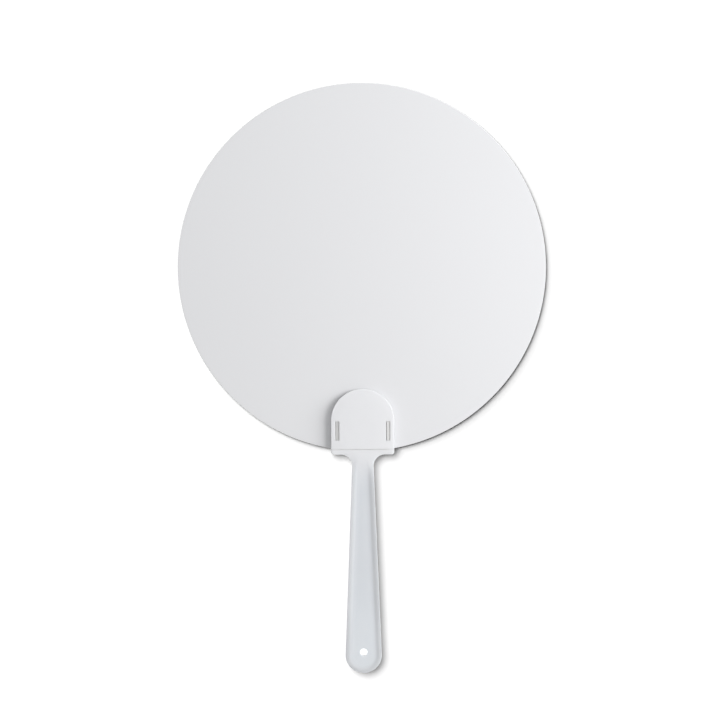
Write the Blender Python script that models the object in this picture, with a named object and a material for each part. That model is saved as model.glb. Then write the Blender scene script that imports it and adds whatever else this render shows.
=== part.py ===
"""Semi-rigid hand fan: a round plastic sheet held in the snap clip at the head of a moulded handle.

The fan lies on its back. X runs across it, +Y from the end of its handle to the top of its blade, and
+Z out of its front. The origin is at the middle of the outline, on the surface that the fan lies on.
The pieces are drawn about the centre of the clip's arch, and an empty there sets them in place.
"""

import math

import bmesh
import bpy
from mathutils import Matrix

MM = 0.001

# Blade: the round sheet
BLADE_DIAMETER = 210.0 * MM
BLADE_THICKNESS = 0.5 * MM
BLADE_FOOT = 1.0 * MM  # cut off the round sheet where its foot meets the seam

# Clip: the rear plate behind the sheet and the cover in front of it share one arch
CLIP_WIDTH = 36.0 * MM
CLIP_SIDE = 16.5 * MM  # straight side, from the arch's centre down to the seam
REAR_PLATE_THICKNESS = 1.8 * MM
COVER_THICKNESS = 3.9 * MM

# Windows in the cover, each with a ledge that a snap arm catches on
WINDOW_LENGTH = 10.8 * MM
WINDOW_WIDTH = 2.3 * MM
WINDOW_WALL = 2.35 * MM  # cover left outside the window
WINDOW_DROP = 0.6 * MM  # arch's centre down to the window's top end
LEDGE_DEPTH = 0.33 * MM
LEDGE_HEIGHT = 2.3 * MM

# Snap arms
ARM_THICKNESS = 1.6 * MM  # at the top
ARM_TAPER = 0.24 * MM  # how much thicker the foot is, on its inner side
ARM_FOOT_INSET = 0.3 * MM  # foot above the back of the rear plate
ARM_TOP_INSET = 0.6 * MM  # top below the face of the cover
ARM_END_GAP = 0.15 * MM  # free length at each end of the window
NOSE_CATCH = 0.2 * MM  # how far the nose reaches over the ledge
NOSE_LAND = 0.3 * MM  # upright edge of the nose, under its ramp
NOSE_CREST = 0.3 * MM  # flat top of the ramp

# Shoulder and neck
SHOULDER_HEIGHT = 2.9 * MM
SHOULDER_CORNER = 1.6 * MM
NECK_WIDTH = 12.2 * MM
NECK_FILLET = 6.5 * MM

# Grip
GRIP_LENGTH = 124.2 * MM  # shoulder's underside to the round end
GRIP_END_WIDTH = 20.6 * MM
RIM_WIDTH = 2.0 * MM
FRONT_DISH_DEPTH = 0.6 * MM
FRONT_SLOPE_WIDTH = 1.6 * MM  # from the rim to the flat of the dish
BACK_DISH_DEPTH = 3.4 * MM
BACK_SLOPE_WIDTH = 2.4 * MM
DISH_DROP = 7.5 * MM  # shoulder's underside to the centre of a dish's round top end
HANG_HOLE_DIAMETER = 4.4 * MM
HANG_HOLE_RISE = 11.4 * MM  # round end to the hole's centre

# Rounded edges
FRONT_EDGE_RADIUS = 0.6 * MM
BACK_EDGE_RADIUS = 1.0 * MM

# Clearances
SEAT_GAP = 0.3 * MM  # between pieces that rest on each other
CATCH_GAP = 0.08 * MM  # between a snap arm and its ledge
CUT_OVERRUN = 3.0 * MM
SAME_POINT = 0.001 * MM

# Steps of the curved outlines and edges
BLADE_STEPS = 180
ARCH_STEPS = 20
END_STEPS = 16
FILLET_STEPS = 10
CORNER_STEPS = 6
SIDE_STEPS = 12
EDGE_STEPS = 4
HOLE_STEPS = 32
SHARP_ANGLE = math.radians(40)

# Levels above the surface that the fan lies on
BLADE_LOW = REAR_PLATE_THICKNESS + SEAT_GAP
BLADE_HIGH = BLADE_LOW + BLADE_THICKNESS
COVER_LOW = BLADE_HIGH + SEAT_GAP
COVER_HIGH = COVER_LOW + COVER_THICKNESS
LEDGE_HIGH = COVER_LOW + LEDGE_HEIGHT
ARM_ROOT = REAR_PLATE_THICKNESS / 2

# Distances across the clip from its middle line
WINDOW_OUT = CLIP_WIDTH / 2 - WINDOW_WALL
WINDOW_IN = WINDOW_OUT - WINDOW_WIDTH
LEDGE_IN = WINDOW_OUT - LEDGE_DEPTH
ARM_OUT = LEDGE_IN - CATCH_GAP
ARM_MIDDLE = ARM_OUT - ARM_THICKNESS / 2
NOSE_REACH = CATCH_GAP + NOSE_CATCH
ARM_LENGTH = WINDOW_LENGTH - 2 * ARM_END_GAP

# Distances along the fan from the arch's centre
SEAM = -CLIP_SIDE
SHOULDER_LOW = SEAM - SHOULDER_HEIGHT
GRIP_END = SHOULDER_LOW - GRIP_LENGTH
GRIP_END_CENTRE = GRIP_END + GRIP_END_WIDTH / 2
NECK = SHOULDER_LOW - NECK_FILLET
WINDOW_CENTRE = -WINDOW_DROP - WINDOW_LENGTH / 2
BLADE_RISE = SEAM - BLADE_FOOT + BLADE_DIAMETER / 2
BLADE_TOP = BLADE_RISE + BLADE_DIAMETER / 2
CLIP_PLACE = -(BLADE_TOP + GRIP_END) / 2


def clear_scene():
    for item in list(bpy.data.objects):
        bpy.data.objects.remove(item, do_unlink=True)


def new_collection(name):
    collection = bpy.data.collections.new(name)
    bpy.context.scene.collection.children.link(collection)
    return collection


def plastic(name, colour, roughness):
    material = bpy.data.materials.new(name)
    material.use_nodes = True
    shader = material.node_tree.nodes["Principled BSDF"]
    shader.inputs["Base Color"].default_value = (*colour, 1.0)
    shader.inputs["Roughness"].default_value = roughness
    shader.inputs["Metallic"].default_value = 0.0
    material.diffuse_color = (*colour, 1.0)
    return material


def arc(centre, radius, start, end, steps):
    """Points on an arc from start to end, in degrees, with both ends."""
    angles = [math.radians(start + (end - start) * i / steps) for i in range(steps + 1)]
    return [(centre[0] + radius * math.cos(a), centre[1] + radius * math.sin(a)) for a in angles]


def both_sides(right_half):
    """A closed outline from its right half, which runs from its lowest to its highest point."""
    left_half = [(-x, y) for x, y in reversed(right_half) if x > SAME_POINT]
    return right_half + left_half


def box_outline(left, right, low, high):
    return [(left, low), (right, low), (right, high), (left, high)]


def is_level(face):
    heights = [v.co.z for v in face.verts]
    return max(heights) - min(heights) < SAME_POINT


def prism(name, outline, low, high):
    """A mesh object from a flat outline in X and Y, raised from low to high, with one face on each end."""
    curve = bpy.data.curves.new(name, "CURVE")
    curve.dimensions = "2D"
    curve.fill_mode = "BOTH"
    curve.extrude = (high - low) / 2
    spline = curve.splines.new("POLY")
    spline.points.add(len(outline) - 1)
    for point, (x, y) in zip(spline.points, outline):
        point.co = (x, y, 0, 1)
    spline.use_cyclic_u = True
    drawn = bpy.data.objects.new(name, curve)
    bpy.context.scene.collection.objects.link(drawn)
    bpy.context.view_layer.update()
    graph = bpy.context.evaluated_depsgraph_get()
    mesh = bpy.data.meshes.new_from_object(drawn.evaluated_get(graph))
    bpy.data.objects.remove(drawn)

    shape = bmesh.new()
    shape.from_mesh(mesh)
    bmesh.ops.remove_doubles(shape, verts=shape.verts, dist=SAME_POINT)
    inside_ends = [e for e in shape.edges if all(is_level(f) for f in e.link_faces)]
    bmesh.ops.dissolve_edges(shape, edges=inside_ends)
    bmesh.ops.translate(shape, verts=shape.verts, vec=(0, 0, (low + high) / 2))
    bmesh.ops.recalc_face_normals(shape, faces=shape.faces)
    shape.to_mesh(mesh)
    shape.free()
    mesh.name = name
    return bpy.data.objects.new(name, mesh)


def round_rim(item, level, radius, square_side=math.inf):
    """Rounds a prism's edge at one of its two ends, all round but for a side along y = square_side."""
    shape = bmesh.new()
    shape.from_mesh(item.data)
    rim = [e for e in shape.edges if all(abs(v.co.z - level) < SAME_POINT for v in e.verts)]
    rim = [e for e in rim if any(abs(v.co.y - square_side) > SAME_POINT for v in e.verts)]
    bmesh.ops.bevel(
        shape, geom=rim, offset=radius, offset_type="OFFSET", segments=EDGE_STEPS, profile=0.5, affect="EDGES"
    )
    shape.to_mesh(item.data)
    shape.free()


def place(item, collection, parent, location=(0, 0, 0), rotation=(0, 0, 0)):
    collection.objects.link(item)
    item.parent = parent
    item.location = location
    item.rotation_euler = rotation


def finish(item, material):
    """Applies a piece's cuts, then gives it its material and keeps its sharp edges."""
    bpy.context.view_layer.update()
    graph = bpy.context.evaluated_depsgraph_get()
    mesh = bpy.data.meshes.new_from_object(item.evaluated_get(graph))
    item.modifiers.clear()
    item.data = mesh
    mesh.name = item.name
    mesh.materials.clear()
    mesh.materials.append(material)
    mesh.shade_smooth()
    mesh.set_sharp_from_angle(angle=SHARP_ANGLE)


def cut(item, cutter):
    modifier = item.modifiers.new("cut_" + cutter.name, "BOOLEAN")
    modifier.operation = "DIFFERENCE"
    modifier.solver = "EXACT"
    modifier.object = cutter


def add_cutter(cutter, cutters, clip, location=(0, 0, 0), rotation=(0, 0, 0)):
    place(cutter, cutters, clip, location, rotation)
    cutter.hide_render = True
    cutter.display_type = "WIRE"
    return cutter


def clip_half(low):
    """Right half of the clip's arch, on straight sides that reach down to low."""
    side = CLIP_WIDTH / 2
    return [(0, low), (side, low), *arc((0, 0), side, 0, 90, ARCH_STEPS)]


def grip_side(y):
    """Half the grip's width at y: a straight taper from the neck to the centre of its round end."""
    share = (NECK - y) / (NECK - GRIP_END_CENTRE)
    return (NECK_WIDTH + (GRIP_END_WIDTH - NECK_WIDTH) * share) / 2


def grip_points(top, inset):
    """The grip's right side from its lowest point up to top, drawn in by inset."""
    end = arc((0, GRIP_END_CENTRE), GRIP_END_WIDTH / 2 - inset, -90, 0, END_STEPS)
    levels = [GRIP_END_CENTRE + (top - GRIP_END_CENTRE) * i / SIDE_STEPS for i in range(1, SIDE_STEPS + 1)]
    return end + [(grip_side(y) - inset, y) for y in levels]


def handle_half():
    """Right half of the handle's outline, with the rear plate's arch at its top."""
    side = CLIP_WIDTH / 2
    fillet_centre = (NECK_WIDTH / 2 + NECK_FILLET, NECK)
    corner_centre = (side - SHOULDER_CORNER, SHOULDER_LOW + SHOULDER_CORNER)
    neck = arc(fillet_centre, NECK_FILLET, 180, 90, FILLET_STEPS)[1:]
    corner = arc(corner_centre, SHOULDER_CORNER, -90, 0, CORNER_STEPS)
    return grip_points(NECK, 0) + neck + corner + arc((0, 0), side, 0, 90, ARCH_STEPS)


def dish_half():
    """Right half of the dish's outline, with a round top end."""
    centre = SHOULDER_LOW - DISH_DROP
    top = arc((0, centre), grip_side(centre) - RIM_WIDTH, 0, 90, END_STEPS)[1:]
    return grip_points(centre, RIM_WIDTH) + top


def dish_cutter(name, depth, slope_width):
    """The hollow of a dish below its rim, with a slope of elliptical section from the rim to the flat."""
    dish = prism(name, both_sides(dish_half()), -slope_width, CUT_OVERRUN)
    round_rim(dish, -slope_width, slope_width)
    dish.data.transform(Matrix.Diagonal((1, 1, depth / slope_width, 1)))
    return dish


def make_handle(collection, cutters, clip, slots, material):
    handle = prism("handle", both_sides(handle_half()), 0, COVER_HIGH)
    round_rim(handle, 0, BACK_EDGE_RADIUS)
    round_rim(handle, COVER_HIGH, FRONT_EDGE_RADIUS)
    place(handle, collection, clip)

    reach = CLIP_WIDTH / 2 + CUT_OVERRUN
    seat_outline = box_outline(-reach, reach, SEAM - SEAT_GAP, reach)
    seat = prism("clip_seat", seat_outline, REAR_PLATE_THICKNESS, COVER_HIGH + CUT_OVERRUN)
    hole_centre = (0, GRIP_END + HANG_HOLE_RISE)
    hole = prism(
        "hang_hole",
        arc(hole_centre, HANG_HOLE_DIAMETER / 2, 0, 360, HOLE_STEPS)[:-1],
        -CUT_OVERRUN,
        COVER_HIGH + CUT_OVERRUN,
    )
    for cutter in (seat, hole):
        cut(handle, add_cutter(cutter, cutters, clip))
    front_dish = dish_cutter("front_dish", FRONT_DISH_DEPTH, FRONT_SLOPE_WIDTH)
    back_dish = dish_cutter("back_dish", BACK_DISH_DEPTH, BACK_SLOPE_WIDTH)
    cut(handle, add_cutter(front_dish, cutters, clip, (0, 0, COVER_HIGH)))
    cut(handle, add_cutter(back_dish, cutters, clip, (0, 0, 0), (0, math.pi, 0)))
    for slot in slots:
        cut(handle, slot)
    finish(handle, material)


def make_slots(cutters, clip):
    """Cutters for the slots that the snap arms pass through, in the rear plate and in the sheet."""
    half_length = ARM_LENGTH / 2 + SEAT_GAP
    inner = ARM_OUT - ARM_THICKNESS - ARM_TAPER - SEAT_GAP
    outer = ARM_OUT + NOSE_REACH + SEAT_GAP
    outline = box_outline(inner, outer, WINDOW_CENTRE - half_length, WINDOW_CENTRE + half_length)
    mirrored = [(-x, y) for x, y in outline]
    return [
        add_cutter(prism(name, points, -CUT_OVERRUN, COVER_LOW), cutters, clip)
        for name, points in (("right_slot", outline), ("left_slot", mirrored))
    ]


def make_blade(collection, clip, slots, material):
    radius = BLADE_DIAMETER / 2
    foot = BLADE_RISE + CLIP_SIDE
    foot_angle = math.degrees(math.acos(foot / radius))
    outline = arc((0, 0), radius, foot_angle - 90, 270 - foot_angle, BLADE_STEPS)
    blade = prism("blade", outline, 0, BLADE_THICKNESS)
    place(blade, collection, clip, (0, BLADE_RISE, BLADE_LOW))
    for slot in slots:
        cut(blade, slot)
    finish(blade, material)


def make_cover(collection, cutters, clip, material):
    cover = prism("clip_cover", both_sides(clip_half(SEAM)), 0, COVER_THICKNESS)
    round_rim(cover, COVER_THICKNESS, FRONT_EDGE_RADIUS, SEAM)
    place(cover, collection, clip, (0, 0, COVER_LOW))
    window_profile = [
        (WINDOW_IN, COVER_LOW - CUT_OVERRUN),
        (LEDGE_IN, COVER_LOW - CUT_OVERRUN),
        (LEDGE_IN, LEDGE_HIGH),
        (WINDOW_OUT, LEDGE_HIGH),
        (WINDOW_OUT, COVER_HIGH + CUT_OVERRUN),
        (WINDOW_IN, COVER_HIGH + CUT_OVERRUN),
    ]
    for name, turn in (("right_window", 0), ("left_window", math.pi)):
        window = prism(name, window_profile, -WINDOW_LENGTH / 2, WINDOW_LENGTH / 2)
        cut(cover, add_cutter(window, cutters, clip, (0, WINDOW_CENTRE, 0), (math.pi / 2, 0, turn)))
    finish(cover, material)


def make_snap_arms(collection, clip, material):
    """Two arms about their roots. The left one is the right one turned half round."""
    half = ARM_THICKNESS / 2
    foot = ARM_FOOT_INSET - ARM_ROOT
    catch = LEDGE_HIGH + CATCH_GAP - ARM_ROOT
    top = COVER_HIGH - ARM_TOP_INSET - ARM_ROOT
    profile = [
        (-half - ARM_TAPER, foot),
        (half, foot),
        (half, catch),
        (half + NOSE_REACH, catch),
        (half + NOSE_REACH, catch + NOSE_LAND),
        (NOSE_CREST - half, top),
        (-half, top),
    ]
    right = prism("right_snap_arm", profile, -ARM_LENGTH / 2, ARM_LENGTH / 2)
    place(right, collection, clip, (ARM_MIDDLE, WINDOW_CENTRE, ARM_ROOT), (math.pi / 2, 0, 0))
    finish(right, material)
    left = bpy.data.objects.new("left_snap_arm", right.data)
    place(left, collection, clip, (-ARM_MIDDLE, WINDOW_CENTRE, ARM_ROOT), (math.pi / 2, 0, math.pi))


def main():
    clear_scene()
    collection = new_collection("hand_fan")
    cutters = new_collection("cutters")
    clip = bpy.data.objects.new("clip_centre", None)
    collection.objects.link(clip)
    clip.location = (0, CLIP_PLACE, 0)
    sheet_white = plastic("sheet_white", (0.84, 0.85, 0.86), 0.38)
    moulded_white = plastic("moulded_white", (0.80, 0.82, 0.84), 0.32)
    slots = make_slots(cutters, clip)
    make_handle(collection, cutters, clip, slots, moulded_white)
    make_blade(collection, clip, slots, sheet_white)
    make_cover(collection, cutters, clip, moulded_white)
    make_snap_arms(collection, clip, moulded_white)


main()
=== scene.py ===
# Semi-rigid hand fan: the looks of its round sheet, its snap clip and its grip,
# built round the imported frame.
import math

import bmesh
import bpy
from mathutils import Matrix, Vector


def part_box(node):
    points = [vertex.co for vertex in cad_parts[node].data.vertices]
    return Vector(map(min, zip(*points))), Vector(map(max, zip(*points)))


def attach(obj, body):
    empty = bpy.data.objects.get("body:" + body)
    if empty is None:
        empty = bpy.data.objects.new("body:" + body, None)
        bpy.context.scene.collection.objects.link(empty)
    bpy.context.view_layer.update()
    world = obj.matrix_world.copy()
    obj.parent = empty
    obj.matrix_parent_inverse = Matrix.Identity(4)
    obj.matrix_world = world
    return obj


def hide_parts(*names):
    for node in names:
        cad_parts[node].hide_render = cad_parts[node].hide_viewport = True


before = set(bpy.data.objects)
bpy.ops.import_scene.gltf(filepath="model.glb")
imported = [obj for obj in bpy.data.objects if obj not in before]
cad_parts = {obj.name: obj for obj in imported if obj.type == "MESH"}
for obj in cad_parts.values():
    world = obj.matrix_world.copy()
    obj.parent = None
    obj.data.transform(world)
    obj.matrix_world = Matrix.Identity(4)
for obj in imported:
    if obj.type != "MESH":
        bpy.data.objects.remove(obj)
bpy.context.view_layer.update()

mm = 0.001
print("frame loaded:", ", ".join(sorted(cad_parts)))

# Places read from the frame
bladeLow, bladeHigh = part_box("blade")
coverLow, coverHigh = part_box("clip_cover")
handleLow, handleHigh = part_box("handle")
armLow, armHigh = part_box("right_snap_arm")
clipHalf = (coverHigh.x - coverLow.x) / 2
archY = coverHigh.y - clipHalf  # centre of the clip's arch
seamY = coverLow.y
bladeRadius = (bladeHigh.x - bladeLow.x) / 2
bladeY = bladeHigh.y - bladeRadius


# Node trees

class Wire:
    # A socket in a node tree. Sums and products of wires and numbers add Math nodes.
    def __init__(self, tree, socket=None):
        self.tree = tree
        self.socket = socket

    def node(self, kind, settings=None, sockets=None, output=0):
        # Adds any node: its settings first, then the values or links of its sockets.
        made = self.tree.nodes.new(kind)
        for name, value in (settings or {}).items():
            setattr(made, name, value)
        for name, value in (sockets or {}).items():
            if isinstance(value, Wire):
                self.tree.links.new(value.socket, made.inputs[name])
            else:
                made.inputs[name].default_value = value
        return Wire(self.tree, made.outputs[output])

    def maths(self, operation, first, second):
        return self.node("ShaderNodeMath", {"operation": operation}, {0: first, 1: second})

    def vectorMaths(self, operation, sockets, output="Vector"):
        return self.node("ShaderNodeVectorMath", {"operation": operation}, sockets, output)

    def __add__(self, other):
        return self.maths("ADD", self, other)

    def __radd__(self, other):
        return self.maths("ADD", other, self)

    def __sub__(self, other):
        return self.maths("SUBTRACT", self, other)

    def __rsub__(self, other):
        return self.maths("SUBTRACT", other, self)

    def __mul__(self, other):
        return self.maths("MULTIPLY", self, other)

    def __rmul__(self, other):
        return self.maths("MULTIPLY", other, self)

    def __truediv__(self, other):
        return self.maths("DIVIDE", self, other)

    def __rtruediv__(self, other):
        return self.maths("DIVIDE", other, self)

    def __pow__(self, other):
        return self.maths("POWER", self, other)

    def atLeast(self, other):
        return self.maths("MAXIMUM", self, other)

    def over(self, other):
        return self.maths("GREATER_THAN", self, other)

    def ramp(self, start, end):
        # 0 before start and 1 after end, with a smooth step between them
        settings = {"interpolation_type": "SMOOTHSTEP"}
        sockets = {"Value": self, "From Min": start, "From Max": end}
        return self.node("ShaderNodeMapRange", settings, sockets)

    def axis(self, name):
        # X, Y or Z of a vector
        return self.node("ShaderNodeSeparateXYZ", {}, {0: self}, name)


def noise(wire, place, size, detail):
    # Clouds about size across, in metres, from 0 to 1
    sockets = {"Vector": place, "Scale": 1 / size, "Detail": detail}
    return wire.node("ShaderNodeTexNoise", {}, sockets)


def mixColour(wire, share, first, second):
    settings = {"data_type": "RGBA"}
    sockets = {0: share, 6: first, 7: second}  # 6 and 7 are the colours, and so is output 2
    return wire.node("ShaderNodeMix", settings, sockets, output=2)


def bumpFrom(wire, height, depth):
    sockets = {"Height": height, "Distance": depth, "Strength": 1.0}
    return wire.node("ShaderNodeBump", {}, sockets)


def newPlastic(name, constants):
    # A material with its Principled shader's constants set, and a wire to add nodes with
    material = bpy.data.materials.new(name)
    material.use_nodes = True
    tree = material.node_tree
    shader = tree.nodes["Principled BSDF"]
    for socket, value in constants.items():
        shader.inputs[socket].default_value = value
    return material, Wire(tree), shader


def feed(shader, wires):
    # What changes over the surface goes to the shader's sockets
    for name, wire in wires.items():
        wire.tree.links.new(wire.socket, shader.inputs[name])


def newShapeTree(name, kinds):
    # A Geometry Nodes tree with named inputs: a wire to add nodes with, the inputs'
    # identifiers and a wire from each input
    tree = bpy.data.node_groups.new(name, "GeometryNodeTree")
    inputs = {}
    for label, kind in kinds.items():
        made = tree.interface.new_socket(label, in_out="INPUT", socket_type="NodeSocket" + kind)
        inputs[label] = made.identifier
    tree.interface.new_socket("Geometry", in_out="OUTPUT", socket_type="NodeSocketGeometry")
    given = tree.nodes.new("NodeGroupInput")
    asked = {label: Wire(tree, given.outputs[label]) for label in kinds}
    return Wire(tree), inputs, asked


def endShapeTree(wire, geometry, material):
    solid = wire.node("GeometryNodeRealizeInstances", {}, {"Geometry": geometry})
    sockets = {"Geometry": solid, "Material": material}
    coated = wire.node("GeometryNodeSetMaterial", {}, sockets)
    end = wire.tree.nodes.new("NodeGroupOutput")
    wire.tree.links.new(coated.socket, end.inputs["Geometry"])


def makePlain(piece):
    # Gives the piece the mesh that its modifiers make, and removes them
    bpy.context.view_layer.update()
    graph = bpy.context.evaluated_depsgraph_get()
    mesh = bpy.data.meshes.new_from_object(piece.evaluated_get(graph))
    piece.modifiers.clear()
    piece.data = mesh


def pieceFromTree(name, tree, inputs, values):
    # A plain mesh made by a Geometry Nodes tree
    piece = bpy.data.objects.new(name, bpy.data.meshes.new(name))
    bpy.context.scene.collection.objects.link(piece)
    modifier = piece.modifiers.new(name, "NODES")
    modifier.node_group = tree
    for label, value in values.items():
        modifier[inputs[label]] = value
    makePlain(piece)
    return piece


# Materials

sheetFinish = {
    "colour": (0.806, 0.810, 0.826, 1.0),
    "cloudColour": (0.796, 0.800, 0.818, 1.0),
    # a painted highlight along the sheet's rim
    "rimHighlightColour": (0.86, 0.865, 0.875, 1.0),
    "cutEdgeAndHighlightWidth": 0.35 * mm,
    "cloudSize": 55 * mm,
    "cloudDetail": 2.0,
    "grainSize": 0.35 * mm,
    "grainDetail": 3.0,
    "grainHeight": 0.004 * mm,
    "roughness": 0.40,
    "cloudRoughness": 0.08,  # how much the clouds, the grain and the cut edge change it
    "grainRoughness": 0.06,
    "cutEdgeRoughness": 0.2,
}


def makeSheetPlastic(values):
    constants = {"Metallic": 0.0, "IOR": 1.49, "Specular IOR Level": 0.4}
    material, wire, shader = newPlastic("sheetPlastic", constants)
    place = wire.node("ShaderNodeTexCoord", output="Object")
    centring = {"Vector": place, "Location": (0, -bladeY, 0)}
    centred = wire.node("ShaderNodeMapping", {"vector_type": "POINT"}, centring)
    flat = wire.vectorMaths("MULTIPLY", {0: centred, 1: (1, 1, 0)})
    fromCentre = wire.vectorMaths("LENGTH", {0: flat}, "Value")
    # A ring at the rim, painted lighter as a highlight, and rougher where the sheet was cut
    cutEdgeAndHighlight = fromCentre.ramp(bladeRadius - values["cutEdgeAndHighlightWidth"], bladeRadius)
    clouds = noise(wire, place, values["cloudSize"], values["cloudDetail"])
    grain = noise(wire, place, values["grainSize"], values["grainDetail"])
    colour = mixColour(wire, clouds, values["colour"], values["cloudColour"])
    colour = mixColour(wire, cutEdgeAndHighlight, colour, values["rimHighlightColour"])
    roughness = values["roughness"] + values["cloudRoughness"] * (clouds - 0.5)
    roughness = roughness + values["grainRoughness"] * (grain - 0.5)
    roughness = roughness + values["cutEdgeRoughness"] * cutEdgeAndHighlight
    bump = bumpFrom(wire, grain, values["grainHeight"])
    feed(shader, {"Base Color": colour, "Roughness": roughness, "Normal": bump})
    return material


mouldedFinish = {
    "headColour": (0.845, 0.850, 0.868, 1.0),
    "sideShadeColour": (0.560, 0.565, 0.580, 1.0),  # painted shade on the clip's outer sides, so that they throw little light on the sheet
    "sideShadeReach": (0.03 * mm, 0.20 * mm),
    "gripColour": (0.720, 0.745, 0.778, 1.0),
    "flowColour": (0.755, 0.777, 0.805, 1.0),
    "endColour": (0.780, 0.808, 0.838, 1.0),
    "endFade": 55 * mm,  # the grip gets lighter over this length above its round end
    "neckFade": 25 * mm,  # the grip's cooler tint fades in over this length below the seam
    "recessLightColour": (0.960, 0.962, 0.965, 1.0),  # painted light inside the clip's windows, slots and gaps
    "recessLightDepth": 0.8 * mm,
    "recessLightInset": 2.0 * mm,
    "rimShadeColour": (0.685, 0.700, 0.722, 1.0),  # painted shade along the grip's rims and the slopes of its dish
    "rimShadeReach": (1.4 * mm, 4.4 * mm),
    "flowSize": 9 * mm,
    "flowDetail": 3.0,
    "flowStretch": 0.12,
    "skinSize": 0.9 * mm,
    "skinDetail": 2.0,
    "skinHeight": 0.006 * mm,
    "roughness": 0.33,
    "flowRoughness": 0.10,  # how much the flow and the skin change it
    "skinRoughness": 0.04,
    "scatter": 1.0,
    "scatterReach": 0.7 * mm,
}

# The snap arms are the same plastic, painted darker as shade and lighter lower down as painted
# light in the gaps, so that they stand in their windows as flat grey fields
armShadeAndLightFinish = {
    "headColour": (0.69, 0.69, 0.685, 1.0),
    "recessLightColour": (0.77, 0.77, 0.765, 1.0),
}


def makeMouldedPlastic(name, values):
    constants = {
        "Metallic": 0.0,
        "IOR": 1.49,
        "Specular IOR Level": 0.45,
        "Subsurface Weight": values["scatter"],
        "Subsurface Scale": values["scatterReach"],
        "Subsurface Radius": (1.0, 1.0, 1.0),
    }
    material, wire, shader = newPlastic(name, constants)
    place = wire.node("ShaderNodeTexCoord", output="Object")
    across, along, height = place.axis("X"), place.axis("Y"), place.axis("Z")

    # The grip's tint, lighter towards its end, with painted shade along its rims
    grip = 1 - along.ramp(seamY - values["neckFade"], seamY)
    belowCentre = (gripEndY - along).atLeast(0)
    reach = (across * across + belowCentre * belowCentre) ** 0.5
    inset = gripSide(along.atLeast(gripEndY)) - reach
    rim = grip * (1 - inset.ramp(*values["rimShadeReach"]))
    stretching = {"Vector": place, "Scale": (1, values["flowStretch"], 1)}
    stretched = wire.node("ShaderNodeMapping", {}, stretching)
    flow = noise(wire, stretched, values["flowSize"], values["flowDetail"])
    skin = noise(wire, place, values["skinSize"], values["skinDetail"])
    gripColour = mixColour(wire, flow, values["gripColour"], values["flowColour"])
    endward = 1 - along.ramp(gripEndY, gripEndY + values["endFade"])
    gripColour = mixColour(wire, endward, gripColour, values["endColour"])
    colour = mixColour(wire, grip, values["headColour"], gripColour)
    colour = mixColour(wire, rim, colour, values["rimShadeColour"])

    # Painted shade on the clip's outer sides, and painted light inside the clip
    aboveArch = (along - archY).atLeast(0)
    headInset = clipHalf - (across * across + aboveArch * aboveArch) ** 0.5
    sideShade = (1 - headInset.ramp(*values["sideShadeReach"])) * along.over(shoulderY)
    colour = mixColour(wire, sideShade, colour, values["sideShadeColour"])
    # Painted light down in the windows, slots and gaps of the clip
    recessLight = (coverHigh.z - height).over(values["recessLightDepth"])
    recessLight = recessLight * along.over(seamY) * headInset.over(values["recessLightInset"])
    colour = mixColour(wire, recessLight, colour, values["recessLightColour"])

    roughness = values["roughness"] + values["flowRoughness"] * (flow - 0.5)
    roughness = roughness + values["skinRoughness"] * (skin - 0.5)
    bump = bumpFrom(wire, skin, values["skinHeight"])
    feed(shader, {"Base Color": colour, "Roughness": roughness, "Normal": bump})
    return material


# Outlines and solids

steps = {  # of the curved outlines and edges
    "gripEnd": 40,
    "gripSide": 40,
    "neck": 24,
    "corner": 12,
    "arch": 48,
    "dishTop": 32,
    "dishSlope": 14,
    "backEdge": 8,
    "frontEdge": 5,
    "hole": 64,
    "pinMark": 48,
    "softEdge": 3,
}
samePoint = 0.001 * mm
flatAngle = math.radians(0.05)  # faces that differ by less are joined
sharpAngle = math.radians(50)  # edges sharper than this are softened


def arc(x, y, radius, start, end, count):
    angles = [math.radians(start + (end - start) * i / count) for i in range(count + 1)]
    return [(x + radius * math.cos(a), y + radius * math.sin(a)) for a in angles]


def bothSides(rightHalf):
    # A closed outline from its right half, which runs from its lowest to its highest point
    return rightHalf + [(-x, y) for x, y in reversed(rightHalf) if x > samePoint]


def quarter(width, height, count):
    # A rounded edge as (inset, height) pairs, from the upright side to the flat
    turns = [math.pi / 2 * i / count for i in range(count + 1)]
    return [(width * (1 - math.cos(t)), height * math.sin(t)) for t in turns]


def smooth(value, start, end):
    # 0 before start and 1 after end, with a smooth step between them
    share = min(max((value - start) / (end - start), 0), 1)
    return share * share * (3 - 2 * share)


def crownLevels(top, crown, share):
    # Levels from the upright side over the front's rounded edge, and on over its fall
    # towards that edge. share(y) is how much of the fall there is at y.
    start, count = crown["edge"], crown["steps"]
    edge = [(inset, rise - start) for inset, rise in quarter(start, start, steps["frontEdge"])]
    reach = crown["width"] - start
    face = [(start + reach * i / count, 0) for i in range(1, count + 1)]

    def height(inset, rise):
        fall = crown["drop"] * max(1 - inset / crown["width"], 0) ** 2
        return lambda y: top + rise - fall * share(y)

    return [(inset, height(inset, rise)) for inset, rise in edge + face]


def addPiece(name, shape):
    mesh = bpy.data.meshes.new(name)
    shape.to_mesh(mesh)
    shape.free()
    piece = bpy.data.objects.new(name, mesh)
    bpy.context.scene.collection.objects.link(piece)
    return piece


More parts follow.
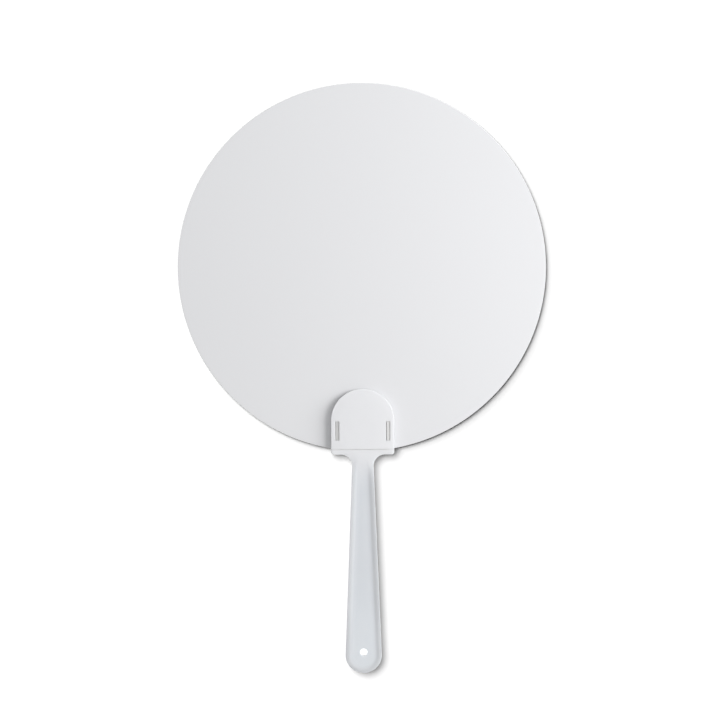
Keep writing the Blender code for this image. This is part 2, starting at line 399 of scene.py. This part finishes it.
def ringSolid(name, outline, levels):
    # A closed solid through insets of one outline, lowest first.
    # A level is an inset and a height, or an inset and a function that gives the height at y.
    shape = bmesh.new()

    def addRing(inset, z):
        places = [(x, y, z(y) if callable(z) else z) for x, y in outline(inset)]
        return [shape.verts.new(place) for place in places]

    rings = [addRing(inset, z) for inset, z in levels]
    count = len(rings[0])
    for low, high in zip(rings, rings[1:]):
        for i in range(count):
            shape.faces.new((low[i - 1], low[i], high[i], high[i - 1]))

    # Both ends are closed by rungs from side to side
    half = count // 2
    for ring in (rings[0][::-1], rings[-1]):
        rungs = [(ring[i], ring[i + 1], ring[-i - 1], ring[-i]) for i in range(1, half - 1)]
        ends = [(ring[-1], ring[0], ring[1]), ring[half - 1:half + 2]]
        for corners in rungs + ends:
            shape.faces.new(corners)
    parts = {"verts": shape.verts, "edges": shape.edges}
    bmesh.ops.dissolve_limit(shape, angle_limit=flatAngle, **parts)
    return addPiece(name, shape)


def boxCutter(name, low, high):
    shape = bmesh.new()
    bmesh.ops.create_cube(shape, size=1)
    size = [b - a for a, b in zip(low, high)]
    middle = [(a + b) / 2 for a, b in zip(low, high)]
    bmesh.ops.scale(shape, verts=shape.verts, vec=size)
    bmesh.ops.translate(shape, verts=shape.verts, vec=middle)
    return addPiece(name, shape)


def cut(piece, *cutters):
    for cutter in cutters:
        modifier = piece.modifiers.new("cut", "BOOLEAN")
        modifier.operation = "DIFFERENCE"
        modifier.solver = "EXACT"
        modifier.object = cutter


def soften(piece, width):
    # A small round on every sharp edge
    modifier = piece.modifiers.new("soften", "BEVEL")
    modifier.width = width
    modifier.segments = steps["softEdge"]
    modifier.limit_method = "ANGLE"
    modifier.angle_limit = sharpAngle
    modifier.use_clamp_overlap = False


def settle(piece, material, *cutters):
    # Makes the piece plain, with smooth shading that keeps its flats flat, and removes cutters
    evenShade = piece.modifiers.new("evenShade", "WEIGHTED_NORMAL")
    evenShade.keep_sharp = True
    evenShade.weight = 60  # over 50, so that large faces count for more
    piece.data.shade_smooth()
    makePlain(piece)
    piece.data.materials.clear()
    piece.data.materials.append(material)
    for cutter in cutters:
        bpy.data.objects.remove(cutter)
    return piece


# Handle: grip, neck, shoulder and the clip's rear plate in one moulding

handle = {
    "thickness": handleHigh.z - handleLow.z,
    "rearPlate": 1.8 * mm,
    "slotGap": 0.3 * mm,
    "seamGap": 0.01 * mm,
    "shoulderHeight": 2.9 * mm,
    "shoulderCorner": 1.6 * mm,
    "smallestCorner": 0.01 * mm,
    "neckWidth": 12.2 * mm,
    "neckFillet": 6.5 * mm,
    "gripEndWidth": 20.6 * mm,
    "rimWidth": 2.0 * mm,
    "backDish": 3.4 * mm,
    "backSlopeWidth": 2.4 * mm,
    "dishDrop": 7.5 * mm,
    # The front dish's section, as mm in from the grip's side and mm down
    "frontDish": (
        (0.2, 0), (1.0, 0.04), (1.7, 0.13), (2.3, 0.27),
        (2.8, 0.40), (3.3, 0.50), (4.2, 0.57), (5.0, 0.60),
    ),
    "frontDishDrop": 4.5 * mm,
    # Below the shoulder: where the front dish begins, and where it is at its full depth
    "dishStart": (1 * mm, 18 * mm),
    "dishFade": (21 * mm, 41 * mm),  # above the round end, where it gets shallower
    "endShare": 0.6,  # of its depth, at the round end
    "hangHole": 4.2 * mm,
    "hangHoleRise": 11.7 * mm,
    "backEdge": 1.0 * mm,
    # The front's fall to its edges
    "crown": {"drop": 0.25 * mm, "width": 5.8 * mm, "edge": 0.18 * mm, "steps": 8},
    "softEdge": 0.03 * mm,
    "pinMarks": 5,
    "pinMarkWidth": 3.0 * mm,
    "pinMarkDepth": 0.08 * mm,
}
overrun = 3 * mm  # of a cutter past what it cuts
shoulderY = seamY - handle["shoulderHeight"]
neckY = shoulderY - handle["neckFillet"]
gripEndY = handleLow.y + handle["gripEndWidth"] / 2
dishTopY = shoulderY - handle["dishDrop"]


def gripSide(y):
    # Half the grip's width at y: a straight taper from the neck to the centre of its round end
    share = (neckY - y) / (neckY - gripEndY)
    return (handle["neckWidth"] + (handle["gripEndWidth"] - handle["neckWidth"]) * share) / 2


sheetPlastic = makeSheetPlastic(sheetFinish)
mouldedPlastic = makeMouldedPlastic("mouldedPlastic", mouldedFinish)
shadedArmPlastic = makeMouldedPlastic("shadedArmPlastic", mouldedFinish | armShadeAndLightFinish)
print("materials made")


def gripPoints(top, inset):
    # The right side of the grip, from the foot of its round end up to top
    endRadius, count = handle["gripEndWidth"] / 2 - inset, steps["gripSide"]
    end = arc(0, gripEndY, endRadius, -90, 0, steps["gripEnd"])
    levels = [gripEndY + (top - gripEndY) * i / count for i in range(1, count + 1)]
    return end + [(gripSide(y) - inset, y) for y in levels]


def handleOutline(inset):
    fillet = handle["neckFillet"]
    corner = max(handle["shoulderCorner"] - inset, handle["smallestCorner"])
    neckX = handle["neckWidth"] / 2 + fillet
    cornerX, cornerY = clipHalf - inset - corner, shoulderY + inset + corner
    neck = arc(neckX, neckY, fillet + inset, 180, 90, steps["neck"])[1:]
    shoulder = arc(cornerX, cornerY, corner, -90, 0, steps["corner"])
    arch = arc(0, archY, clipHalf - inset, 0, 90, steps["arch"])
    return bothSides(gripPoints(neckY, inset) + neck + shoulder + arch)


def dishOutline(inset, centreY=dishTopY):
    top = arc(0, centreY, gripSide(centreY) - inset, 0, 90, steps["dishTop"])[1:]
    return bothSides(gripPoints(centreY, inset) + top)


def dishShare(y):
    # How much of its depth the front dish has at y
    begin, full = handle["dishStart"]
    shallow, deep = handle["dishFade"]
    end = handle["endShare"] + (1 - handle["endShare"]) * smooth(y - handleLow.y, shallow, deep)
    return smooth(shoulderY - y, begin, full) * end


def crownShare(y):
    return 1 - dishShare(y)


def frontDishCutter():
    # The rims lean in, and the floor between them is nearly flat
    top, section = handle["thickness"], handle["frontDish"]

    def outline(inset):
        return dishOutline(inset, shoulderY - handle["frontDishDrop"])

    def height(drop):
        return lambda y: top - drop * mm * dishShare(y)

    levels = [(inset * mm, height(drop)) for inset, drop in reversed(section)]
    mouth = (section[0][0] * mm, top + overrun)
    return ringSolid("frontDish", outline, levels + [mouth])


def backDishCutter():
    rim = handle["rimWidth"]
    slope = quarter(handle["backSlopeWidth"], handle["backDish"], steps["dishSlope"])
    levels = [(rim + inset, depth) for inset, depth in slope]
    return ringSolid("backDish", dishOutline, [(rim, -overrun)] + levels)


def pinMarkCutter():
    # The round marks that a mould's ejector pins leave along the back dish
    kinds = {
        "Count": "Int",
        "Start": "Vector",
        "Step": "Vector",
        "Width": "Float",
        "Height": "Float",
    }
    wire, inputs, asked = newShapeTree("pinMarks", kinds)
    spacing = {"Count": asked["Count"], "Start Location": asked["Start"], "Offset": asked["Step"]}
    line = wire.node("GeometryNodeMeshLine", {"mode": "OFFSET"}, spacing)
    sizes = {"Vertices": steps["pinMark"], "Radius": asked["Width"] / 2, "Depth": asked["Height"]}
    pin = wire.node("GeometryNodeMeshCylinder", {}, sizes)
    marks = wire.node("GeometryNodeInstanceOnPoints", {}, {"Points": line, "Instance": pin})
    endShapeTree(wire, marks, mouldedPlastic)

    first, last = dishTopY, gripEndY + handle["hangHoleRise"]
    return pieceFromTree("pinMarks", wire.tree, inputs, {
        "Count": handle["pinMarks"],
        "Start": (0, first, handle["backDish"]),
        "Step": (0, (last - first) / (handle["pinMarks"] - 1), 0),
        "Width": handle["pinMarkWidth"],
        "Height": 2 * handle["pinMarkDepth"],
    })


def armSlot(name, side):
    # The slot that a snap arm passes through, with room for its nose
    gap = handle["slotGap"]
    left, right = sorted((side * (armLow.x - gap), side * (armHigh.x + gap)))
    low, high = armLow.y - gap, armHigh.y + gap
    return boxCutter(name, (left, low, -overrun), (right, high, coverLow.z))


def holeCutter():
    holeY = handleLow.y + handle["hangHoleRise"]

    def outline(inset):
        return arc(0, holeY, handle["hangHole"] / 2 - inset, 0, 360, steps["hole"])[:-1]

    return ringSolid("hole", outline, [(0, -overrun), (0, handle["thickness"] + overrun)])


def makeHandle():
    top, back = handle["thickness"], handle["backEdge"]
    roundBack = quarter(back, back, steps["backEdge"])
    levels = [(inset, back - rise) for inset, rise in reversed(roundBack)]
    levels += crownLevels(top, handle["crown"], crownShare)
    piece = ringSolid("fan_handle", handleOutline, levels)
    reach = clipHalf + overrun
    seatLow = (-reach, seamY - handle["seamGap"], handle["rearPlate"])
    seat = boxCutter("seat", seatLow, (reach, archY + reach, top + overrun))
    cutters = [seat, holeCutter(), frontDishCutter(), backDishCutter()]
    cutters += [armSlot("rightSlot", 1), armSlot("leftSlot", -1)]
    cut(piece, *cutters)
    soften(piece, handle["softEdge"])
    marks = pinMarkCutter()
    cut(piece, marks)
    return settle(piece, mouldedPlastic, marks, *cutters)


fanHandle = makeHandle()
print("handle made:", len(fanHandle.data.polygons), "faces")


# Clip cover

cover = {
    "windowWidth": 2.3 * mm,
    "windowWall": 2.35 * mm,
    "windowEndGap": 0.15 * mm,
    "ledgeDepth": 0.33 * mm,
    "ledgeHeight": 2.3 * mm,
    "crown": {"drop": 0.34 * mm, "width": 12.0 * mm, "edge": 0.22 * mm, "steps": 12},
    "softEdge": 0.025 * mm,
}


def coverOutline(inset):
    side = clipHalf - inset
    arch = arc(0, archY, side, 0, 90, steps["arch"])
    return bothSides([(0, seamY), (side, seamY)] + arch)


def windowCutters(name, side):
    # The narrower throat up to the ledge that the snap arm catches on, and the mouth above it
    outer = clipHalf - cover["windowWall"]
    inner = outer - cover["windowWidth"]
    low, high = armLow.y - cover["windowEndGap"], armHigh.y + cover["windowEndGap"]
    ledgeZ = coverLow.z + cover["ledgeHeight"]

    def box(part, edge, bottom, top):
        left, right = sorted((side * inner, side * edge))
        return boxCutter(name + part, (left, low, bottom), (right, high, top))

    throat = box("Throat", outer - cover["ledgeDepth"], coverLow.z - overrun, coverHigh.z)
    mouth = box("Mouth", outer, ledgeZ, coverHigh.z + overrun)
    return [throat, mouth]


def makeCover():
    levels = [(0, coverLow.z)] + crownLevels(coverHigh.z, cover["crown"], lambda y: 1)
    piece = ringSolid("clip_shell", coverOutline, levels)
    cutters = windowCutters("rightWindow", 1) + windowCutters("leftWindow", -1)
    cut(piece, *cutters)
    soften(piece, cover["softEdge"])
    return settle(piece, mouldedPlastic, *cutters)


clipShell = makeCover()
print("clip cover made:", len(clipShell.data.polygons), "faces")


# Snap arms

arm = {
    "thickness": 1.6 * mm,  # at the top
    "taper": 0.24 * mm,
    "noseLand": 0.3 * mm,
    "noseRamp": 0.10 * mm,
    "topInset": 0.20 * mm,  # below the face of the cover
    "topFall": 0.32 * mm,  # towards the nose
    "windowGap": 0.05 * mm,  # round the nose and at both ends of the window
    "catchGap": 0.08 * mm,
    "softEdge": 0.05 * mm,
}


def makeArm(name, side):
    inner = armLow.x + arm["taper"]
    outer = inner + arm["thickness"]
    tip = clipHalf - cover["windowWall"] - arm["windowGap"]
    spare = cover["windowEndGap"] - arm["windowGap"]
    low, high = armLow.y - spare, armHigh.y + spare
    catch = coverLow.z + cover["ledgeHeight"] + arm["catchGap"]
    top = coverHigh.z - arm["topInset"]
    profile = [
        (armLow.x, armLow.z),
        (outer, armLow.z),
        (outer, catch),
        (tip, catch),
        (tip, catch + arm["noseLand"]),
        (tip - arm["noseRamp"], top - arm["topFall"]),
        (inner, top),
    ]
    shape = bmesh.new()
    near = [shape.verts.new((side * x, low, z)) for x, z in profile]
    far = [shape.verts.new((side * x, high, z)) for x, z in profile]
    shape.faces.new(near)
    shape.faces.new(far[::-1])
    for i in range(len(profile)):
        shape.faces.new((near[i], near[i - 1], far[i - 1], far[i]))
    bmesh.ops.recalc_face_normals(shape, faces=shape.faces)
    piece = addPiece(name, shape)
    soften(piece, arm["softEdge"])
    return settle(piece, shadedArmPlastic)


rightSnap = makeArm("right_snap", 1)
leftSnap = makeArm("left_snap", -1)
print("snap arms made")


# Sheet: a round blade whose shape follows a rule, from a node tree

sheet = {
    "thickness": bladeHigh.z - bladeLow.z,
    "rimSteps": 360,
    "sideSteps": 6,
    "rings": 44,
    "rimRound": 0.14 * mm,
    "rimSlack": 0.01 * mm,  # a point this near the radius is on the rim
    "wave": 0.28 * mm,  # how far the free part of the sheet strays from flat
    "waveSize": 150 * mm,
    "flatReach": 26 * mm,  # held flat this far from the middle of the clip
    "freeReach": 75 * mm,
}


def makeSheetTree():
    kinds = {
        "Radius": "Float",
        "Thickness": "Float",
        "Rim Round": "Float",
        "Wave": "Float",
        "Wave Size": "Float",
        "Flat Reach": "Float",
        "Free Reach": "Float",
        "Rim Steps": "Int",
        "Side Steps": "Int",
        "Rings": "Int",
        "Clip": "Vector",
    }
    wire, inputs, asked = newShapeTree("roundSheet", kinds)
    sizes = {
        "Vertices": asked["Rim Steps"],
        "Side Segments": asked["Side Steps"],
        "Fill Segments": asked["Rings"],
        "Radius": asked["Radius"],
        "Depth": asked["Thickness"],
    }
    disc = wire.node("GeometryNodeMeshCylinder", {"fill_type": "TRIANGLE_FAN"}, sizes)
    place = wire.node("GeometryNodeInputPosition")
    flat = wire.vectorMaths("MULTIPLY", {0: place, 1: (1, 1, 0)})
    fromCentre = wire.vectorMaths("LENGTH", {0: flat}, "Value")
    height = place.axis("Z")

    # The cut edge is drawn in where it nears a face, as half an ellipse
    share = height / (asked["Thickness"] / 2)
    drawnIn = asked["Rim Round"] * (1 - (1 - share * share).atLeast(0) ** 0.5)
    atRim = fromCentre.over(asked["Radius"] - sheet["rimSlack"])
    shrink = 1 - atRim * drawnIn / asked["Radius"]
    rounded = wire.vectorMaths("SCALE", {0: flat, "Scale": shrink})

    # The free part strays a little from flat, and the clip holds the rest
    fromClip = wire.vectorMaths("DISTANCE", {0: flat, 1: asked["Clip"]}, "Value")
    free = fromClip.ramp(asked["Flat Reach"], asked["Free Reach"])
    clouds = noise(wire, flat, asked["Wave Size"], 0.0)
    lift = height + free * asked["Wave"] * 2 * (clouds - 0.5)
    up = wire.node("ShaderNodeCombineXYZ", {}, {"Z": lift})
    moved = wire.vectorMaths("ADD", {0: rounded, 1: up})
    shaped = wire.node("GeometryNodeSetPosition", {}, {"Geometry": disc, "Position": moved})
    endShapeTree(wire, shaped, sheetPlastic)
    return wire.tree, inputs


def makeSheet():
    tree, inputs = makeSheetTree()
    piece = pieceFromTree("round_sheet", tree, inputs, {
        "Radius": bladeRadius,
        "Thickness": sheet["thickness"],
        "Rim Round": sheet["rimRound"],
        "Wave": sheet["wave"],
        "Wave Size": sheet["waveSize"],
        "Flat Reach": sheet["flatReach"],
        "Free Reach": sheet["freeReach"],
        "Rim Steps": sheet["rimSteps"],
        "Side Steps": sheet["sideSteps"],
        "Rings": sheet["rings"],
        "Clip": (0, archY - bladeY, 0),
    })
    middleZ = (bladeLow.z + bladeHigh.z) / 2
    piece.data.transform(Matrix.Translation((0, bladeY, middleZ)))

    reach = clipHalf + overrun
    footLow = (-reach, bladeY - bladeRadius - overrun, -overrun)
    foot = boxCutter("foot", footLow, (reach, seamY, coverHigh.z))
    cutters = [foot, armSlot("rightSheetSlot", 1), armSlot("leftSheetSlot", -1)]
    cut(piece, *cutters)
    return settle(piece, sheetPlastic, *cutters)


roundSheet = makeSheet()
print("sheet made:", len(roundSheet.data.polygons), "faces")


# Each piece rides on its body and stands for its node

for piece, body, node, slot in (
    (fanHandle, "handle", "handle", "moulded_white"),
    (clipShell, "clip_cover", "clip_cover", "moulded_white"),
    (rightSnap, "right_snap_arm", "right_snap_arm", "moulded_white"),
    (leftSnap, "left_snap_arm", "left_snap_arm", "moulded_white"),
    (roundSheet, "blade", "blade", "sheet_white"),
):
    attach(piece, body)
    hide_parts(node)
print("pieces placed")


# Camera: straight down on the fan, through a long lens

view = {
    "frameWidth": 720,  # pixels
    "bladeColumn": 361.85,  # pixel column and row of the sheet's centre
    "bladeRow": 266.9,
    "bladeRadius": 184.1,  # pixels
    "turn": -0.28,  # degrees: the fan lies a little askew in the photo
    "lens": 135,
    "sensor": 36,
    "nearest": 0.01,
}


def makeCamera():
    pixel = bladeRadius / view["bladeRadius"]
    middle = view["frameWidth"] / 2
    data = bpy.data.cameras.new("camera")
    data.lens = view["lens"]
    data.sensor_width = view["sensor"]
    data.clip_start = view["nearest"]
    camera = bpy.data.objects.new("camera", data)
    bpy.context.scene.collection.objects.link(camera)
    distance = view["frameWidth"] * pixel * view["lens"] / view["sensor"]
    turned = Matrix.Rotation(math.radians(view["turn"]), 4, "Z")
    fromMiddle = Vector((view["bladeColumn"] - middle, middle - view["bladeRow"], 0))
    toBlade = turned @ fromMiddle * pixel
    aboveBlade = Vector((0, bladeY, bladeHigh.z + distance))
    camera.matrix_world = Matrix.Translation(aboveBlade - toBlade) @ turned
    bpy.context.scene.camera = camera


makeCamera()


# Floor, lamps and world

stage = {
    "floorSize": 6.0,
    "floorDrop": 0.02 * mm,
    "floorColour": (0.15, 0.15, 0.15, 1.0),
    "bounceColour": (0.10, 0.10, 0.10, 1.0),  # the floor's, in the light that it throws back
    "floorRoughness": 0.9,
    "holeGlow": 0.55,  # radius of the white spot under the hang hole, as a share of its width
    "keyAzimuth": 15,  # degrees from +X towards +Y
    "keyElevation": 31,
    "keyDistance": 1.05,  # metres
    "keyWidth": 0.5,
    "keyHeight": 0.92,
    "keyPower": 11.2,  # watts
    # Throws every piece's shadow
    "steepSun": {"direction": (1.0, -1.0, -2.75), "spread": 44, "strength": 17.6},
    # Throws the sheet's shadow alone
    "lowSun": {"direction": (1.0, -1.0, -0.8), "spread": 36, "strength": 10.6},
    "fill": 0.50,  # the world's white light on the fan
    "background": 1.0,  # the white that the camera and reflections see
}


def makeFloor():
    shape = bmesh.new()
    bmesh.ops.create_grid(shape, x_segments=1, y_segments=1, size=stage["floorSize"] / 2)
    floor = addPiece("floor", shape)
    floor.location = (0, 0, -stage["floorDrop"])
    material, wire, shader = newPlastic("floorPaper", {
        "Roughness": stage["floorRoughness"],
        "Specular IOR Level": 0.0,
        "Emission Strength": 1.0,
    })
    seen = wire.node("ShaderNodeLightPath", output="Is Camera Ray")
    colour = mixColour(wire, seen, stage["bounceColour"], stage["floorColour"])

    # Under the hang hole the floor glows white, a painted light
    place = wire.node("ShaderNodeTexCoord", output="Object")
    hole = (0, handleLow.y + handle["hangHoleRise"], 0)
    fromHole = wire.vectorMaths("DISTANCE", {0: place, 1: hole}, "Value")
    glow = 1 - fromHole.over(handle["hangHole"] * stage["holeGlow"])
    feed(shader, {"Base Color": colour, "Emission Color": glow})
    floor.data.materials.append(material)
    return floor


def lightOnly(lamp, floor, state):
    # The lamp lights the floor alone (INCLUDE) or everything but the floor (EXCLUDE)
    linked = bpy.data.collections.new(lamp.name + "Lights")
    linked.objects.link(floor)
    lamp.light_linking.receiver_collection = linked
    linked.collection_objects[0].light_linking.link_state = state


def addLamp(name, data, direction):
    lamp = bpy.data.objects.new(name, data)
    bpy.context.scene.collection.objects.link(lamp)
    lamp.rotation_euler = Vector(direction).to_track_quat("-Z", "Y").to_euler()
    return lamp


def addKey(floor):
    # A wide soft lamp at the right, for the fan alone
    azimuth = math.radians(stage["keyAzimuth"])
    elevation = math.radians(stage["keyElevation"])
    x = math.cos(azimuth) * math.cos(elevation)
    y = math.sin(azimuth) * math.cos(elevation)
    towards = Vector((x, y, math.sin(elevation)))
    data = bpy.data.lights.new("key", "AREA")
    data.shape = "RECTANGLE"
    data.size = stage["keyWidth"]
    data.size_y = stage["keyHeight"]
    data.energy = stage["keyPower"]
    key = addLamp("key", data, -towards)
    key.location = towards * stage["keyDistance"]
    lightOnly(key, floor, "EXCLUDE")


def addSun(name, floor):
    # A soft sun for the floor alone
    values = stage[name]
    data = bpy.data.lights.new(name, "SUN")
    data.energy = values["strength"]
    data.angle = math.radians(values["spread"])
    sun = addLamp(name, data, values["direction"])
    lightOnly(sun, floor, "INCLUDE")
    return sun


def makeLamps(floor):
    addKey(floor)
    addSun("steepSun", floor)
    lowSun = addSun("lowSun", floor)
    casters = bpy.data.collections.new("lowSunCasters")
    casters.objects.link(roundSheet)
    lowSun.light_linking.blocker_collection = casters


def makeWorld():
    world = bpy.data.worlds.new("softWhite")
    bpy.context.scene.world = world
    world.use_nodes = True
    tree = world.node_tree
    wire = Wire(tree)
    camera = wire.node("ShaderNodeLightPath", output="Is Camera Ray")
    glossy = wire.node("ShaderNodeLightPath", output="Is Glossy Ray")
    through = wire.node("ShaderNodeLightPath", output="Is Transmission Ray")
    seen = camera.atLeast(glossy).atLeast(through)
    strength = stage["fill"] + seen * (stage["background"] - stage["fill"])
    background = tree.nodes["Background"]
    background.inputs["Color"].default_value = (1, 1, 1, 1)
    feed(background, {"Strength": strength})


makeLamps(makeFloor())
makeWorld()
bpy.context.scene.view_settings.view_transform = "Standard"
print("camera, floor and lamps made")
